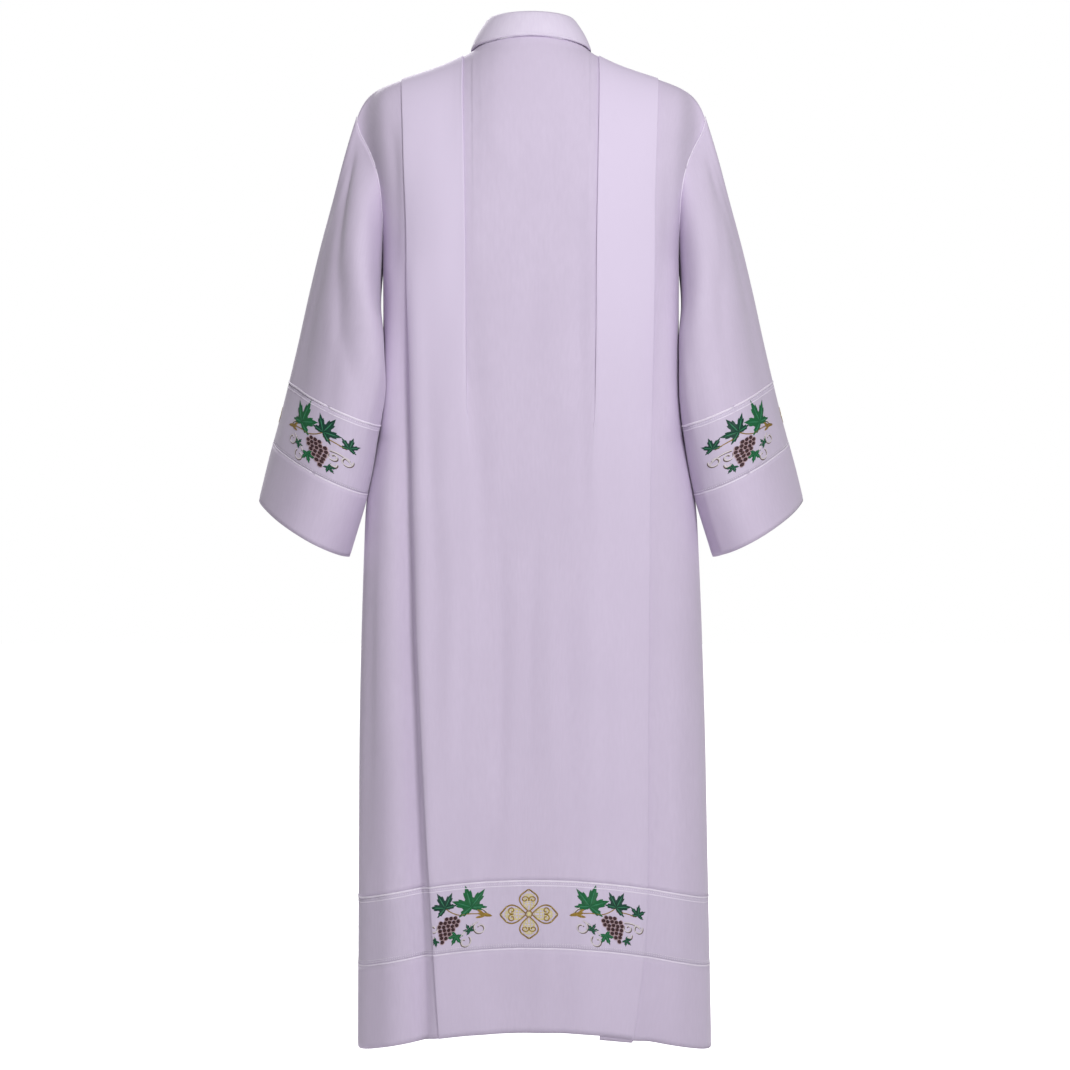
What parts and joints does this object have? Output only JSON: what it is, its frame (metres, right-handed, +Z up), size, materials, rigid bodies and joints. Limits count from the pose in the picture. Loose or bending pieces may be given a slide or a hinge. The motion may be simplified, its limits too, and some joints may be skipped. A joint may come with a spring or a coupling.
{
  "type": "cassock",
  "caption": "Long loose alb-cut cassock worn hollow: stand collar, two box pleats down the back, set-in straight sleeves, inset band above each deep hem.",
  "frame": {"origin": "middle of the neck opening at the level where the shoulder seams reach the collar, held up there by the wearer's neck and shoulders", "axes": "+Z up along the garment, -Y out of the wearer's front, +Y out of the back, +X to the wearer's left"},
  "size_m": [0.7672, 0.3074, 1.4317],
  "materials": {
    "body_cloth": "fine plain-weave lilac polyester-cotton, matt with a faint sheen",
    "band_cloth": "the same lilac cloth, embroidered with vines and crosses",
    "collar_cloth": "the same lilac cloth, double and stiffened",
    "button": "satin pearly polyester"
  },
  "bodies": {
    "root": {"back": "body_cloth", "back_band": "band_cloth", "back_hem": "body_cloth", "front": "body_cloth", "front_band": "band_cloth", "front_hem": "body_cloth", "sleeve_left": "body_cloth", "sleeve_band_left": "band_cloth", "cuff_left": "body_cloth", "sleeve_right": "body_cloth", "sleeve_band_right": "band_cloth", "cuff_right": "body_cloth", "collar": "collar_cloth", "placket": "body_cloth", "button_1": "button", "button_2": "button", "button_3": "button", "button_4": "button", "button_5": "button"}
  },
  "joints": []
}
